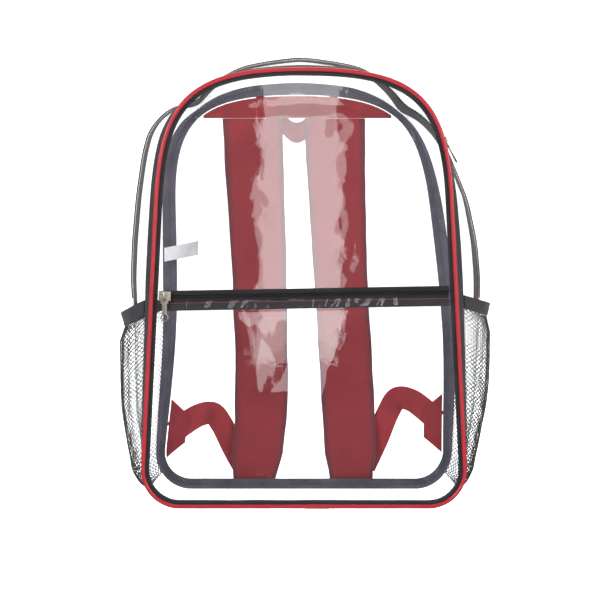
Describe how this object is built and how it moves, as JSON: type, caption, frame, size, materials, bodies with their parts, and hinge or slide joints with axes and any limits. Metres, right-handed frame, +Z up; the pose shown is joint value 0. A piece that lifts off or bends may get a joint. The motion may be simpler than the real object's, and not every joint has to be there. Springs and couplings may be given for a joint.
{
  "type": "clear backpack",
  "caption": "Clear PVC backpack with red piping, black zips, a low front pocket, net side pockets, a haul loop and two wide red shoulder straps.",
  "frame": {"origin": "on the floor under the middle of the bag's box", "axes": "+Z up from the base to the crown, -Y out of the front pocket, +Y towards the shoulder straps, +X to the right as seen from the front"},
  "size_m": [0.3876, 0.152, 0.46],
  "materials": {
    "clear_pvc": "clear, glossy, softly waved",
    "black_tape": "woven polyester tape",
    "black_coil": "nylon coil",
    "black_plastic": "moulded",
    "black_net": "knitted net",
    "red_piping": "smooth vinyl",
    "red_cloth": "woven polyester",
    "bright_metal": "nickel plated",
    "white_satin": "satin ribbon, bare"
  },
  "bodies": {
    "bag": {"front_panel": "clear_pvc", "front_binding": "black_tape", "front_piping": "red_piping", "pocket_panel": "clear_pvc", "pocket_edge_tape": "black_tape", "pocket_zip_tape": "black_tape", "pocket_zip_chain": "black_coil", "pocket_slider": "bright_metal", "base_gusset": "clear_pvc", "top_gusset_front": "clear_pvc", "top_gusset_rear": "clear_pvc", "main_zip_tape": "black_tape", "main_zip_chain": "black_coil", "main_slider": "bright_metal", "back_panel": "clear_pvc", "back_binding": "black_tape", "yoke": "red_cloth", "haul_loop": "red_cloth", "shoulder_strap_left": "red_cloth", "shoulder_strap_right": "red_cloth", "strap_buckle_left": "black_plastic", "strap_buckle_right": "black_plastic", "strap_webbing_left": "red_cloth", "strap_webbing_right": "red_cloth", "strap_tab_left": "red_cloth", "strap_tab_right": "red_cloth", "net_pocket_left": "black_net", "net_pocket_right": "black_net", "pocket_elastic_left": "black_tape", "pocket_elastic_right": "black_tape", "care_label": "white_satin"},
    "pocket_pull": {"pocket_pull": "bright_metal"},
    "main_pull": {"main_pull": "bright_metal"}
  },
  "joints": [
    {"name": "pocket_pull_swing", "type": "hinge", "parent": "bag", "child": "pocket_pull", "pos_m": [-0.13884, -0.07315, 0.21257], "axis": [-1, 0, 0], "range_deg": [0, 170]},
    {"name": "main_pull_swing", "type": "hinge", "parent": "bag", "child": "main_pull", "pos_m": [0.14496, -0.02192, 0.37276], "axis": [-0.0281, -0.9995, -0.0142], "range_deg": [0, 170]}
  ]
}
